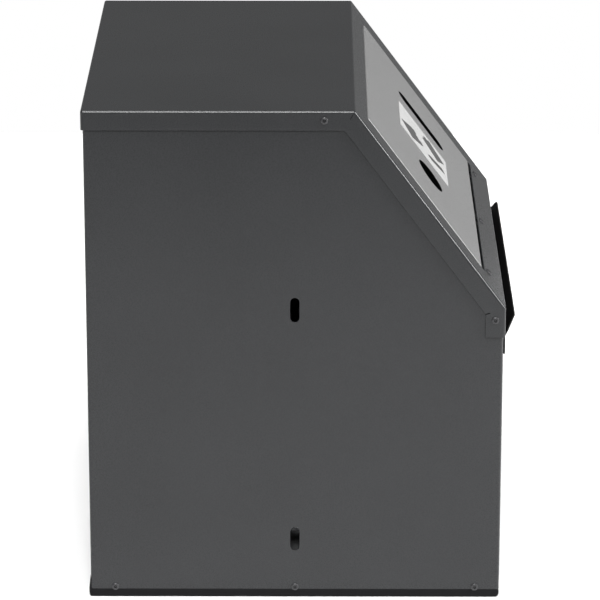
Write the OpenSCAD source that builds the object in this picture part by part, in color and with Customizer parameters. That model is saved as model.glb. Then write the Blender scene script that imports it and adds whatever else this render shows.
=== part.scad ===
// Battery recycling bin: a floor-standing sheet-metal housing on a moulded base tray.
// A folded hood carries a sloped aperture plate with a round inlet and a flat inlet.
// A bottom-hinged front door gives access to a lift-out steel liner with a bail.
// X runs across the bin, the front faces -Y, and Z = 0 is the floor.

/* [Hood] */
// Width of the hood, side to side
hood_w = 450; // [430:5:560]
// Depth of the hood, front plane to back plane
hood_d = 420; // [390:5:500]
// Height of the bin over all
overall_h = 515; // [500:5:600]
// Depth of the flat top, back edge to fold
top_flat = 269; // [250:1:290]
// Height of the sloped face
slope_rise = 203; // [195:1:215]
// Height of the upright drop below the slope
front_drop = 31; // [28:1:34]
// Depth of the turned-down edge at the sides and the back
hood_flange = 20; // [14:1:24]
// Thickness of the hood sheet
hood_t = 1.5; // [1:0.1:2]
// Outside radius of the hood's bends
bend_r = 2.5; // [2.2:0.1:4]
// Air between the hood and the shell that it covers
hood_gap = 0.5; // [0.3:0.1:1]

/* [Shell] */
// Thickness of the shell sheet
shell_t = 1.2; // [0.8:0.1:1.6]
// Width of the return flange at each side of the doorway
return_w = 15; // [12:1:20]
// Radius of the upright corners
corner_r = 3; // [2:0.5:6]
// Width of a link slot
link_slot_w = 9.3; // [7:0.1:11]
// Length of a link slot
link_slot_l = 25.5; // [20:0.5:34]
// Height of the lower link slots above the floor
link_low_z = 64; // [50:1:90]
// Distance between the lower and the upper link slots
link_rise = 245; // [200:1:260]

/* [Base] */
// Height of the rim that shows below the shell
rim_h = 9; // [8:0.5:11]
// Height of the base's upstand, inside the shell and behind its back
upstand_h = 20; // [18:0.5:26]
// Wall thickness of the base moulding
base_wall = 3; // [2.5:0.25:4]
// Depth of the sill below the door
sill_d = 18; // [16:1:24]

/* [Aperture plate] */
// Width of the plate's face
plate_w = 374; // [340:2:380]
// Slope distance from the fold to the face's top edge
plate_top = 22.5; // [18:0.5:28]
// Length of the plate's face along the slope
plate_l = 192; // [186:0.5:194]
// Thickness of the plate's sheet
plate_t = 1; // [0.8:0.1:1.5]
// Air between the face and the hood's window at the sides and the top
plate_gap = 1; // [0.5:0.1:1.5]
// How far the face stands out of the slope
plate_proud = 0.3; // [0:0.1:0.6]
// Width of the plate's rim behind the hood
plate_rim = 8; // [6:1:12]
// Width of the open joint below the plate
plate_joint = 5; // [4:0.5:6]
// Diameter of the round inlet
inlet_d = 40; // [34:1:50]
// Distance of the round inlet from the middle of the bin
inlet_x = 90; // [85:1:110]
// Width of the flat inlet
flat_inlet_w = 21.5; // [16:0.5:30]
// Length of the flat inlet
flat_inlet_l = 80; // [60:1:90]
// Distance of the flat inlet from the middle of the bin
flat_inlet_x = 90; // [86:1:110]
// Slope distance from the fold to the round inlet's centre
inlet_s = 132; // [120:1:140]
// Slope distance from the fold to the flat inlet's centre
flat_inlet_s = 123; // [115:1:135]
// Width of the label
label_w = 90; // [70:1:96]
// Height of the label
label_h = 84; // [70:1:96]

/* [Door] */
// Thickness of the door's outer sheet
door_t = 1.2; // [0.8:0.1:1.6]
// Depth of the door's folded pan
door_depth = 15; // [12:0.5:18]
// Air round the door in its doorway
door_gap = 1; // [0.6:0.1:2]
// How far the door stands out of the doorway's face
door_proud = 1; // [0:0.1:1.5]
// How far the pull stands out of the hood's front plane
lip_reach = 11; // [8:0.5:16]
// Lean of the pull from upright, in degrees
lip_lean = 30; // [24:1:40]
// Thickness of the pull
pull_t = 1.8; // [1.5:0.1:2.4]
// Height of the pull's riveted flange
pull_flange = 20; // [16:1:30]

/* [Hinge] */
// Diameter of the hinge barrel
barrel_d = 7; // [6:0.5:9]
// Diameter of the hinge pin
hinge_pin_d = 3; // [2.5:0.5:4]
// Thickness of a hinge leaf
leaf_t = 1.2; // [1:0.1:1.5]
// Number of knuckles, both leaves together
knuckles = 15; // [7:2:21]

/* [Liner] */
// Width of the liner
liner_w = 376; // [300:4:380]
// Air between the liner's rim and the catches, for the bail and for lifting the liner out
liner_head_air = 29.7; // [26:0.1:60]
// Thickness of the liner sheet
liner_t = 1; // [0.8:0.1:1.5]
// Width of the liner's turned-in rim
liner_rim = 12; // [10:1:18]
// Air between the liner and the door behind it
liner_front_air = 10; // [8:1:20]
// Air between the liner and the back wall
liner_back_air = 8; // [6:1:30]
// Diameter of the bail wire
bail_d = 6; // [5:0.5:8]
// Reach of the bail from its pivot
bail_reach = 150; // [110:5:160]
// Diameter of the bail's grip
grip_d = 18; // [14:1:24]
// Length of the bail's grip
grip_l = 110; // [90:5:140]

/* [Fasteners] */
// Diameter of a housing screw's head
head_d = 7.6; // [6.5:0.1:9]
// Diameter of a housing screw's shank
shank_d = 4; // [3:0.5:4.5]
// Diameter of the small screws' and hinge rivets' bodies
small_d = 3; // [2.5:0.1:3.5]
// Diameter of the pull's and the ears' rivets
rivet_d = 3.2; // [2.4:0.1:4]
// Distance of the foot screw behind the hood's front plane
foot_screw_y = 10.3; // [9:0.1:12]
// Distance of the fold screw behind the fold
fold_screw_behind = 30; // [14:1:80]
// Distance of the outer base screws from the hood's front and back planes
base_screw_in = 27; // [22:1:40]
// Distance of the outer plate screws from the sides of the plate's face
plate_screw_in = 14; // [8:1:70]

/* [Hidden] */
$fn = 48;

// Clearances and small fixed sizes
run_fit = 0.05;   // radial air of a pin that turns in its bore
seat = 0.3;       // air under a loose piece
lap = 0.1;        // air between sheets that lie against each other
screw_air = 0.1;  // radial air round a screw's shank in sheet
cut = 1;          // how far a cutting body runs past the face that it cuts
overlap = 0.01;   // how far one part of a flat symbol runs into the next
bend_steps = 4;
nut_t = 3;
nut_d = 8;
small_head_d = 5.2;
hinge_head_h = 0.9;
head_h = 1.6;
rivet_h = 1.4;
rivet_past = 1;

// Main planes
front_y = -(hood_d - lip_reach) / 2;
rear_y = front_y + hood_d;
slope_run = hood_d - top_flat;
fold_y = front_y + slope_run;
slope_a = atan(slope_rise / slope_run);
foot_z = overall_h - slope_rise;
drop_z = foot_z - front_drop;

// Shell
shell_in = hood_t + hood_gap;
shell_x = hood_w / 2 - shell_in;
shell_y0 = front_y + shell_in;
shell_y1 = rear_y - shell_in;
shell_mid_y = (shell_y0 + shell_y1) / 2;
doorway_x = shell_x - return_w;

// Base
base_in_x = shell_x - shell_t - lap;
base_in_y = shell_y1 - shell_t - lap;
base_in_y0 = shell_y0 + sill_d;
sill_round = 2;
foot_round = 1.5;
rim_round = 3;
rear_lean = 1.3;
base_screw_up = 2.5;
base_screw_z = rim_h + base_screw_up;
foot_screw_below = 13;

// Header rail across the top of the doorway
header_up = 2;
header_z = drop_z + header_up;
header_h = 20;
header_d = 33;
header_y = shell_y0 + shell_t;

// Hinge
barrel_r = barrel_d / 2;
hinge_y = shell_y0 + barrel_r;
hinge_z = rim_h + barrel_r + lap;
hinge_air = 0.3;
hinge_pilot = 6;
hinge_in = 8;
hinge_l = 2 * (doorway_x - hinge_in);
knuckle_l = hinge_l / knuckles;
hinge_screws = 5;
leaf_margin = 0.5;
base_leaf_d = sill_d - barrel_r - leaf_margin;

// Door
door_x = doorway_x - door_gap;
door_y = shell_y0 - door_proud;
door_back = door_y + door_depth;
door_leaf_d = door_back - hinge_y - leaf_margin;
door_z0 = hinge_z + barrel_r;
door_top_air = 2;
door_z1 = drop_z - door_top_air;
door_skin_t = 1;
lip_below = 1.5;
lip_z = door_z1 - lip_below;
lip_l = (door_y - front_y + lip_reach - pull_t * cos(lip_lean)) / sin(lip_lean);
lip_tip_z = lip_z + lip_l * cos(lip_lean);
lip_corner = 13;
pull_rivets_n = 7;
pull_rivet_z = lip_z - pull_flange / 2;
pull_rivet_in = 18;

// Magnetic catches
catch_x = 0.55 * doorway_x;
catch_w = 46;
catch_below = 9;
catch_h = header_z - door_z1 + catch_below;
catch_d = 18;
strike_w = 60;
strike_t = 1.2;
strike_h = 11;
strike_y = door_back + strike_t;
catch_y = strike_y + seat;
catch_screw_x = 16;
strike_rivet_d = 2.4;
strike_rivet_in = 4;
strike_rivet_x = strike_w / 2 - strike_rivet_in;
strike_below = 2;
strike_z = door_z1 - strike_below;
pole_t = 1.6;
pole_w = 20;
pole_z = 2.6;

// Liner
liner_y0 = door_back + liner_front_air;
liner_y1 = shell_y1 - shell_t - liner_back_air;
liner_mid_y = (liner_y0 + liner_y1) / 2;
liner_z0 = base_wall + seat;
liner_z1 = header_z - catch_h - liner_head_air;
liner_h = liner_z1 - liner_z0;
liner_x = liner_w / 2;
liner_r = 8;
liner_hem = 6;
bail_r = bail_d / 2;
bail_z = liner_z1 + bail_r + seat;
bail_in = 3;
bail_x = liner_x - bail_r - bail_in;
bail_bend = 14;
bail_end_bend = bail_d;
ear_t = 1.5;
ear_w = 30;
ear_below = 38;
ear_above = 5.5;
ear_rivet_y = 8;
ear_rivet_below = 24;
ear_rivet_z = liner_z1 - ear_rivet_below;
bail_past = 3.5;
bail_end_x = liner_x + ear_t + bail_past;

// Aperture plate, in slope distances from the fold
plate_bottom = plate_top + plate_l;
joint_end = plate_bottom + plate_joint;
window_x = plate_w / 2 + plate_gap;
plate_tab = 17;
plate_tab_w = 16;
plate_screw_below = 7.8;
plate_screw_s = joint_end + plate_screw_below;
plate_screw_x = plate_w / 2 - plate_screw_in;
label_off = 3.5;
label_x = (flat_inlet_x - inlet_x) / 2 + label_off;
label_s = flat_inlet_s;
film_air = 0.05;
label_t = 0.3;
ink_t = 0.15;

// The label's battery symbols: x, y, turn, body width and length, contact width and length
block_at = [-17.5, 20.8, -135, 27, 26.5, 6.5, 3.5];
slim_at = [-16, -23, 28, 10, 28, 5, 2.5];
fat_at = [20, -18, -31, 24.5, 31, 9, 3];
block_contact_x = 8.5;

// Points of a list in the other order
function turned(list) = [for (i = [len(list) - 1 : -1 : 0]) list[i]];

// Points of the arc that rounds corner b between a and c; a radius of nothing keeps the corner
function rounded(a, b, c, r) =
  r < 0.05 ? [b] :
  let (
    u = (a - b) / norm(a - b),
    v = (c - b) / norm(c - b),
    half = acos(u * v) / 2,
    centre = b + (u + v) / norm(u + v) * r / sin(half),
    start = b + u * r / tan(half) - centre,
    stop = b + v * r / tan(half) - centre,
    a0 = atan2(start[1], start[0]),
    turn = (atan2(stop[1], stop[0]) - a0 + 900) % 360 - 180
  )
  [for (i = [0 : bend_steps]) let (t = a0 + turn * i / bend_steps) centre + r * [cos(t), sin(t)]];

// Corners of the hood's side outline, moved in by o: back edge, top, fold, foot, front edge
function cap_corners(o) = [
  [rear_y - o, overall_h - hood_flange],
  [rear_y - o, overall_h - o],
  [fold_y + o * tan(slope_a / 2), overall_h - o],
  [front_y + o, foot_z - o * tan(45 - slope_a / 2)],
  [front_y + o, drop_z]];

// The same outline with its bends rounded
function cap_line(o) =
  let (c = cap_corners(o), r = bend_r - o)
  concat([c[0]], [for (i = [1 : 3]) each rounded(c[i - 1], c[i], c[i + 1], r)], [c[4]]);

// Outline of a rounded rectangle about the origin
function rect_line(w, d, r) = [for (k = [0 : 3]) for (i = [0 : bend_steps])
  let (a = 90 * k + 90 * i / bend_steps,
    sx = (k == 0 || k == 3) ? 1 : -1,
    sy = (k < 2) ? 1 : -1)
  [sx * (w / 2 - r) + r * cos(a), sy * (d / 2 - r) + r * sin(a)]];

// Places of the hinge's screws and rivets along the bin, and behind its axis in a leaf of depth d
function hinge_screw_x(i) = -hinge_l / 2 + hinge_l * (i + 0.5) / hinge_screws;
function leaf_screw_y(d) = (barrel_r + hinge_air + d) / 2;

// Place of one of the pull's rivets along the bin
function pull_rivet_x(i) = (door_x - pull_rivet_in) * (2 * i / (pull_rivets_n - 1) - 1);

// Extrudes an outline drawn in Y and Z across the bin, centred on X = 0
module across(w) {
  rotate([90, 0, 90]) linear_extrude(w, center = true) children();
}

// Puts children on the slope: X across, Y up the slope, Z out of the sheet
module on_slope(s) {
  translate([0, fold_y - s * cos(slope_a), overall_h - s * sin(slope_a)])
    rotate([slope_a, 0, 0]) children();
}

// A round-ended slot, long in Y
module obround(w, l, t) {
  cube([w, l - w, t], center = true);
  for (s = [-1, 1]) translate([0, s * (l - w) / 2, 0]) cylinder(d = w, h = t, center = true);
}

// A button-head screw with its head's seat at Z = 0 and its shank along -Z
module button_screw(d, h, shank, l) {
  dome = [for (i = [0 : 5]) [d / 2 * (1 - pow(i / 7, 2.2)), h * (0.3 + 0.7 * i / 5)]];
  difference() {
    union() {
      rotate_extrude() polygon(concat([[0, 0], [d / 2, 0]], dome, [[0, h]]));
      translate([0, 0, -l]) cylinder(d = shank, h = l);
    }
    translate([0, 0, 0.45 * h]) cylinder(d = 0.36 * d, h = h, $fn = 6);
  }
}

// A rivet with its head's seat at Z = 0 and its body along -Z
module rivet(d, h, body, l) {
  rotate_extrude()
    polygon([[0, 0], [d / 2, 0], [d / 2, 0.35 * h], [0.36 * d, 0.85 * h], [0.2 * d, h], [0, h]]);
  translate([0, 0, -l]) cylinder(d = body, h = l);
}

// Both sides of the bin: children drawn with Z pointing out of the side, mirrored for the right
module both_sides() {
  rotate([0, -90, 0]) children();
  mirror([1, 0, 0]) rotate([0, -90, 0]) children();
}

// Places in both_sides' own plane are [z, y]
hood_screw_at = [
  [overall_h - hood_flange / 2, fold_y + fold_screw_behind],
  [foot_z - foot_screw_below, front_y + foot_screw_y]];
base_screw_at = [for (y = [front_y + base_screw_in, shell_mid_y, rear_y - base_screw_in]) [base_screw_z, y]];

module base_tray() {
  back_r = corner_r + shell_in;
  color([0.09, 0.09, 0.09])
  difference() {
    union() {
      intersection() {
        // side profile: sill, floor and the wall behind the back
        across(hood_w) polygon(concat(
          [[shell_y0, rim_h - sill_round], [shell_y0, rim_round], [shell_y0 + rim_round, 0]],
          rounded([0, 0], [rear_y, 0], [rear_y, rim_h], rim_round),
          [[rear_y, 0.4 * upstand_h], [rear_y - rear_lean, upstand_h]],
          [[shell_y1 + lap, upstand_h], [shell_y1 + lap, rim_h], [shell_y0 + sill_round, rim_h]]));
        // front profile: rim flush with the shell's sides
        rotate([90, 0, 0]) linear_extrude(2 * hood_d, center = true) polygon([
          [-shell_x, upstand_h], [-shell_x, foot_round], [-shell_x + foot_round, 0],
          [shell_x - foot_round, 0], [shell_x, foot_round], [shell_x, upstand_h]]);
        // plan, with the shell's rounded corners
        linear_extrude(2 * upstand_h) polygon(concat(
          rounded([0, shell_y0], [-shell_x, shell_y0], [-shell_x, 0], corner_r),
          rounded([-shell_x, 0], [-shell_x, rear_y], [0, rear_y], back_r),
          rounded([0, rear_y], [shell_x, rear_y], [shell_x, 0], back_r),
          rounded([shell_x, 0], [shell_x, shell_y0], [0, shell_y0], corner_r)));
      }
      // upstand, inside the shell
      translate([0, 0, base_wall]) linear_extrude(upstand_h - base_wall) polygon(concat(
        [[-base_in_x, base_in_y0]],
        rounded([-base_in_x, base_in_y0], [-base_in_x, base_in_y], [base_in_x, base_in_y], corner_r),
        rounded([-base_in_x, base_in_y], [base_in_x, base_in_y], [base_in_x, base_in_y0], corner_r),
        [[base_in_x, base_in_y0]]));
    }
    // room inside the upstand, down to the floor
    translate([-base_in_x + base_wall, base_in_y0, base_wall])
      cube([2 * (base_in_x - base_wall), base_in_y - base_wall - base_in_y0, upstand_h]);
    for (p = base_screw_at) both_sides() translate([p[0], p[1], base_in_x - base_wall - cut])
      cylinder(d = shank_d, h = base_wall + 2 * cut);
    for (i = [0 : hinge_screws - 1])
      translate([hinge_screw_x(i), hinge_y + leaf_screw_y(base_leaf_d), rim_h - hinge_pilot])
        cylinder(d = small_d, h = hinge_pilot + cut);
  }
}

module base_screws() {
  color([0.25, 0.25, 0.26])
  for (p = base_screw_at) both_sides() translate([p[0], p[1], shell_x])
    button_screw(head_d, head_h, shank_d, shell_t + lap + base_wall);
}

module body_shell() {
  outer = concat([[-doorway_x, shell_y0]],
    rounded([-doorway_x, shell_y0], [-shell_x, shell_y0], [-shell_x, shell_y1], corner_r),
    rounded([-shell_x, shell_y0], [-shell_x, shell_y1], [shell_x, shell_y1], corner_r),
    rounded([-shell_x, shell_y1], [shell_x, shell_y1], [shell_x, shell_y0], corner_r),
    rounded([shell_x, shell_y1], [shell_x, shell_y0], [doorway_x, shell_y0], corner_r),
    [[doorway_x, shell_y0]]);
  in_x = shell_x - shell_t;
  in_y0 = shell_y0 + shell_t;
  in_y1 = shell_y1 - shell_t;
  inner = concat([[-doorway_x, in_y0]],
    rounded([-doorway_x, in_y0], [-in_x, in_y0], [-in_x, in_y1], corner_r - shell_t),
    rounded([-in_x, in_y0], [-in_x, in_y1], [in_x, in_y1], corner_r - shell_t),
    rounded([-in_x, in_y1], [in_x, in_y1], [in_x, in_y0], corner_r - shell_t),
    rounded([in_x, in_y1], [in_x, in_y0], [doorway_x, in_y0], corner_r - shell_t),
    [[doorway_x, in_y0]]);
  color([0.29, 0.3, 0.31])
  difference() {
    intersection() {
      translate([0, 0, rim_h]) linear_extrude(overall_h) polygon(concat(outer, turned(inner)));
      across(hood_w) polygon(concat(cap_line(shell_in), [[shell_y0, rim_h], [shell_y1, rim_h]]));
    }
    for (z = [link_low_z, link_low_z + link_rise]) translate([0, shell_mid_y, z])
      rotate([90, 0, 90]) obround(link_slot_w, link_slot_l, 2 * hood_w);
    for (p = concat(hood_screw_at, base_screw_at)) both_sides() translate([p[0], p[1], in_x - cut])
      cylinder(d = shank_d + 2 * screw_air, h = shell_t + 2 * cut);
  }
}

module front_header() {
  half = shell_x - corner_r;
  color([0.29, 0.3, 0.31])
  difference() {
    across(2 * half) polygon([[header_y, header_z], [header_y + header_d, header_z],
      [header_y + header_d, header_z + shell_t], [header_y + shell_t, header_z + shell_t],
      [header_y + shell_t, header_z + header_h], [header_y, header_z + header_h]]);
    for (s = [-1, 1]) for (k = [-1, 1])
      translate([s * catch_x + k * catch_screw_x, catch_y + catch_d / 2, header_z - cut])
        cylinder(d = small_d + 2 * screw_air, h = shell_t + 2 * cut);
  }
}

module hood() {
  f = cap_corners(hood_flange);
  nip = 3;
  relief_h = 0.8;
  relief_in = 4.4;
  side = concat([[rear_y, f[0][1] + nip]],
    [for (i = [1 : len(cap_line(0)) - 1]) cap_line(0)[i]],
    [f[4], f[3], f[2], [rear_y - nip, f[0][1]]]);
  color([0.28, 0.285, 0.29])
  difference() {
    union() {
      across(hood_w) polygon(concat(cap_line(0), turned(cap_line(hood_t))));
      for (s = [-1, 1]) translate([s * (hood_w - hood_t) / 2, 0, 0]) across(hood_t) polygon(side);
    }
    // window that the plate's face fills; the joint below the face stays open
    on_slope(joint_end) translate([-window_x, 0, -hood_t - cut])
      cube([2 * window_x, joint_end - plate_top + plate_gap, hood_t + 2 * cut]);
    for (x = [-plate_screw_x, 0, plate_screw_x]) on_slope(plate_screw_s)
      translate([x, 0, -hood_t - cut]) cylinder(d = shank_d + 2 * screw_air, h = hood_t + 2 * cut);
    for (p = hood_screw_at) both_sides() translate([p[0], p[1], hood_w / 2 - hood_t - cut])
      cylinder(d = shank_d + 2 * screw_air, h = hood_t + 2 * cut);
    // bend relief where the slope's flange meets the front flange
    across(2 * hood_w) translate([f[3][0] - relief_in, f[3][1] - relief_h / 2])
      square([relief_in + cut, relief_h]);
  }
}

module hood_screws() {
  color([0.25, 0.25, 0.26])
  for (p = hood_screw_at) both_sides() translate([p[0], p[1], hood_w / 2])
    button_screw(head_d, head_h, shank_d, shell_in + shell_t + nut_t);
}

module hood_nuts() {
  color([0.7, 0.7, 0.68])
  for (p = hood_screw_at) both_sides() translate([p[0], p[1], shell_x - shell_t - nut_t]) difference() {
    cylinder(d = nut_d, h = nut_t);
    translate([0, 0, -cut]) cylinder(d = shank_d, h = nut_t + 2 * cut);
  }
}

module aperture_plate() {
  back = -hood_t - plate_t;
  inner_x = plate_w / 2 - plate_t;
  rim_x = window_x + plate_rim;
  color([0.66, 0.66, 0.66])
  difference() {
    on_slope(plate_bottom) union() {
      difference() {
        union() {
          // face with its edges turned down
          translate([-plate_w / 2, 0, back]) cube([plate_w, plate_l, plate_proud - back]);
          // rim that lies against the hood from behind
          translate([-rim_x, 0, back]) cube([2 * rim_x, plate_l + plate_gap + plate_rim, plate_t]);
        }
        translate([-inner_x, plate_t, back - cut])
          cube([2 * inner_x, plate_l - 2 * plate_t, plate_proud - plate_t - back + cut]);
      }
      // tabs that go under the hood's lower strip
      for (x = [-plate_screw_x, 0, plate_screw_x])
        translate([x - plate_tab_w / 2, -plate_joint - plate_tab, back])
          cube([plate_tab_w, plate_joint + plate_tab + plate_t, plate_t]);
    }
    on_slope(inlet_s) translate([-inlet_x, 0, back]) cylinder(d = inlet_d, h = cut - back, $fn = 96);
    on_slope(flat_inlet_s) translate([flat_inlet_x, 0, 0])
      obround(flat_inlet_w, flat_inlet_l, 2 * (hood_t + cut));
    for (x = [-plate_screw_x, 0, plate_screw_x]) on_slope(plate_screw_s)
      translate([x, 0, back - cut]) cylinder(d = shank_d + 2 * screw_air, h = plate_t + 2 * cut);
  }
}

module plate_screws() {
  color([0.4, 0.4, 0.4])
  for (x = [-plate_screw_x, 0, plate_screw_x]) on_slope(plate_screw_s)
    translate([x, 0, 0]) button_screw(head_d, head_h, shank_d, hood_t + plate_t + nut_t);
}

module plate_nuts() {
  color([0.7, 0.7, 0.68])
  for (x = [-plate_screw_x, 0, plate_screw_x]) on_slope(plate_screw_s)
    translate([x, 0, -hood_t - plate_t - nut_t]) difference() {
      cylinder(d = nut_d, h = nut_t, $fn = 6);
      translate([0, 0, -cut]) cylinder(d = shank_d, h = nut_t + 2 * cut);
    }
}

module aperture_label() {
  color([0.93, 0.93, 0.92])
  on_slope(label_s) translate([label_x - label_w / 2, -label_h / 2, plate_proud + film_air])
    cube([label_w, label_h, label_t]);
}

// A battery symbol: a body, and a contact that stands off to one side by the given distance
module cell_symbol(at, side) {
  translate([at[0], at[1]]) rotate(at[2]) union() {
    translate([-at[3] / 2, -at[4] / 2]) square([at[3], at[4]]);
    translate([side - at[5] / 2, at[4] / 2 - overlap]) square([at[5], at[6] + overlap]);
  }
}

module label_pictograms() {
  color([0.45, 0.45, 0.45])
  on_slope(label_s) translate([label_x, 0, plate_proud + 2 * film_air + label_t]) linear_extrude(ink_t) {
    for (side = [-block_contact_x, block_contact_x]) cell_symbol(block_at, side);
    cell_symbol(slim_at, 0);
    cell_symbol(fat_at, 0);
  }
}

// One leaf of the hinge, of depth d: its knuckles have the given remainder, and up is 1 or -1
module hinge_leaf(own, up, d) {
  z = up > 0 ? barrel_r - leaf_t : -barrel_r;
  free = barrel_r + hinge_air;
  difference() {
    union() {
      translate([-hinge_l / 2, free, z]) cube([hinge_l, d - free, leaf_t]);
      for (i = [0 : knuckles - 1]) if (i % 2 == own)
        translate([-hinge_l / 2 + i * knuckle_l + hinge_air / 2, 0, 0]) {
          rotate([0, 90, 0]) cylinder(d = barrel_d, h = knuckle_l - hinge_air);
          translate([0, 0, z]) cube([knuckle_l - hinge_air, free, leaf_t]);
        }
    }
    translate([-hinge_l / 2 - cut, 0, 0]) rotate([0, 90, 0])
      cylinder(d = hinge_pin_d + 2 * run_fit, h = hinge_l + 2 * cut);
    for (i = [0 : hinge_screws - 1]) translate([hinge_screw_x(i), leaf_screw_y(d), z - cut])
      cylinder(d = small_d + 2 * screw_air, h = leaf_t + 2 * cut);
  }
}

module hinge_base_leaf() {
  color([0.72, 0.72, 0.7])
  translate([0, hinge_y, hinge_z]) hinge_leaf(0, -1, base_leaf_d);
}

module hinge_door_leaf() {
  color([0.72, 0.72, 0.7])
  translate([0, hinge_y, hinge_z]) hinge_leaf(1, 1, door_leaf_d);
}

module hinge_pin() {
  color([0.6, 0.6, 0.6])
  translate([-hinge_l / 2, hinge_y, hinge_z]) rotate([0, 90, 0]) cylinder(d = hinge_pin_d, h = hinge_l);
}

module hinge_base_screws() {
  color([0.72, 0.72, 0.7])
  for (i = [0 : hinge_screws - 1])
    translate([hinge_screw_x(i), hinge_y + leaf_screw_y(base_leaf_d), rim_h + lap + leaf_t])
      rivet(small_head_d, hinge_head_h, small_d, leaf_t + hinge_pilot);
}

module hinge_door_rivets() {
  color([0.72, 0.72, 0.7])
  for (i = [0 : hinge_screws - 1])
    translate([hinge_screw_x(i), hinge_y + leaf_screw_y(door_leaf_d), door_z0 - leaf_t])
      rotate([180, 0, 0]) rivet(small_head_d, hinge_head_h, small_d, leaf_t + door_t);
}

// The two magnetic catches hang below the header's flange
module catch_body(side) {
  color([0.12, 0.12, 0.12])
  translate([side * catch_x, catch_y, header_z - catch_h]) difference() {
    translate([-catch_w / 2, 0, 0]) cube([catch_w, catch_d, catch_h]);
    for (k = [-1, 1]) {
      translate([k * catch_screw_x, catch_d / 2, -cut]) cylinder(d = small_d, h = catch_h + 2 * cut);
      translate([0, 0, catch_h / 2 + k * pole_z]) cube([pole_w, 2 * catch_d / 3, pole_t], center = true);
    }
  }
}

module catch_left() {
  catch_body(-1);
}

module catch_right() {
  catch_body(1);
}

module catch_poles() {
  color([0.75, 0.75, 0.75])
  for (s = [-1, 1]) for (k = [-1, 1])
    translate([s * catch_x, catch_y + catch_d / 6, header_z - catch_h / 2 + k * pole_z])
      cube([pole_w, catch_d / 3, pole_t], center = true);
}

module catch_screws() {
  color([0.72, 0.72, 0.7])
  for (s = [-1, 1]) for (k = [-1, 1])
    translate([s * catch_x + k * catch_screw_x, catch_y + catch_d / 2, header_z - catch_h])
      rotate([180, 0, 0]) rivet(small_head_d, head_h, small_d, catch_h + shell_t + rivet_past);
}

module strike(side) {
  color([0.72, 0.72, 0.7])
  translate([side * catch_x, door_back, strike_z]) difference() {
    translate([-strike_w / 2, 0, -strike_h]) cube([strike_w, strike_t, strike_h]);
    for (k = [-1, 1]) translate([k * strike_rivet_x, -cut, -strike_h / 2]) rotate([-90, 0, 0])
      cylinder(d = strike_rivet_d, h = strike_t + 2 * cut);
  }
}

module strike_left() {
  strike(-1);
}

module strike_right() {
  strike(1);
}

module strike_rivets() {
  color([0.72, 0.72, 0.7])
  for (s = [-1, 1]) for (k = [-1, 1])
    translate([s * catch_x + k * strike_rivet_x, strike_y, strike_z - strike_h / 2])
      rotate([-90, 0, 0]) rivet(4, 0.8, strike_rivet_d, strike_t + door_skin_t);
}

module door_outer() {
  r = 1.6;
  color([0.29, 0.3, 0.31])
  difference() {
    // outer sheet with its four edges turned back
    intersection() {
      across(2 * door_x) polygon(concat(
        [[door_back, door_z0]],
        rounded([door_back, door_z0], [door_y, door_z0], [door_y, door_z1], r),
        rounded([door_y, door_z0], [door_y, door_z1], [door_back, door_z1], r),
        [[door_back, door_z1]]));
      linear_extrude(overall_h) polygon(concat(
        [[-door_x, door_back]],
        rounded([-door_x, door_back], [-door_x, door_y], [door_x, door_y], r),
        rounded([-door_x, door_y], [door_x, door_y], [door_x, door_back], r),
        [[door_x, door_back]]));
    }
    translate([-door_x + door_t, door_y + door_t, door_z0 + door_t])
      cube([2 * (door_x - door_t), door_depth, door_z1 - door_z0 - 2 * door_t]);
    for (i = [0 : hinge_screws - 1])
      translate([hinge_screw_x(i), hinge_y + leaf_screw_y(door_leaf_d), door_z0 - cut])
        cylinder(d = small_d + 2 * screw_air, h = door_t + 2 * cut);
    for (i = [0 : pull_rivets_n - 1]) translate([pull_rivet_x(i), door_y - cut, pull_rivet_z])
      rotate([-90, 0, 0]) cylinder(d = rivet_d + 2 * screw_air, h = door_t + 2 * cut);
  }
}

module door_inner() {
  side = door_x - door_t - lap;
  low = door_z0 + door_t + lap;
  high = door_z1 - door_t - lap;
  color([0.29, 0.3, 0.31])
  difference() {
    translate([-side, door_back - door_skin_t, low]) cube([2 * side, door_skin_t, high - low]);
    for (s = [-1, 1]) for (k = [-1, 1])
      translate([s * catch_x + k * strike_rivet_x, door_back - door_skin_t - cut, strike_z - strike_h / 2])
        rotate([-90, 0, 0]) cylinder(d = strike_rivet_d + 2 * screw_air, h = door_skin_t + 2 * cut);
  }
}

module door_pull() {
  back_tip = [door_y - lip_l * sin(lip_lean), lip_tip_z];
  front_off = [pull_t * cos(lip_lean), pull_t * sin(lip_lean)];
  front_bend_z = lip_z - pull_t * tan(lip_lean / 2);
  color([0.04, 0.04, 0.04])
  difference() {
    intersection() {
      across(2 * door_x) polygon([[door_y, lip_z - pull_flange], [door_y, lip_z], back_tip,
        back_tip - front_off, [door_y - pull_t, front_bend_z], [door_y - pull_t, lip_z - pull_flange]]);
      rotate([90, 0, 0]) linear_extrude(2 * hood_d, center = true) polygon([
        [-door_x, lip_z - pull_flange], [door_x, lip_z - pull_flange], [door_x, lip_tip_z - lip_corner],
        [door_x - lip_corner, lip_tip_z], [-door_x + lip_corner, lip_tip_z],
        [-door_x, lip_tip_z - lip_corner]]);
    }
    for (i = [0 : pull_rivets_n - 1]) translate([pull_rivet_x(i), door_y - pull_t - cut, pull_rivet_z])
      rotate([-90, 0, 0]) cylinder(d = rivet_d + 2 * screw_air, h = pull_t + 2 * cut);
  }
}

module pull_rivets() {
  color([0.1, 0.1, 0.1])
  for (i = [0 : pull_rivets_n - 1]) translate([pull_rivet_x(i), door_y - pull_t, pull_rivet_z])
    rotate([90, 0, 0]) rivet(2 * rivet_d, rivet_h / 2, rivet_d, pull_t + door_t + rivet_past);
}

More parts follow.
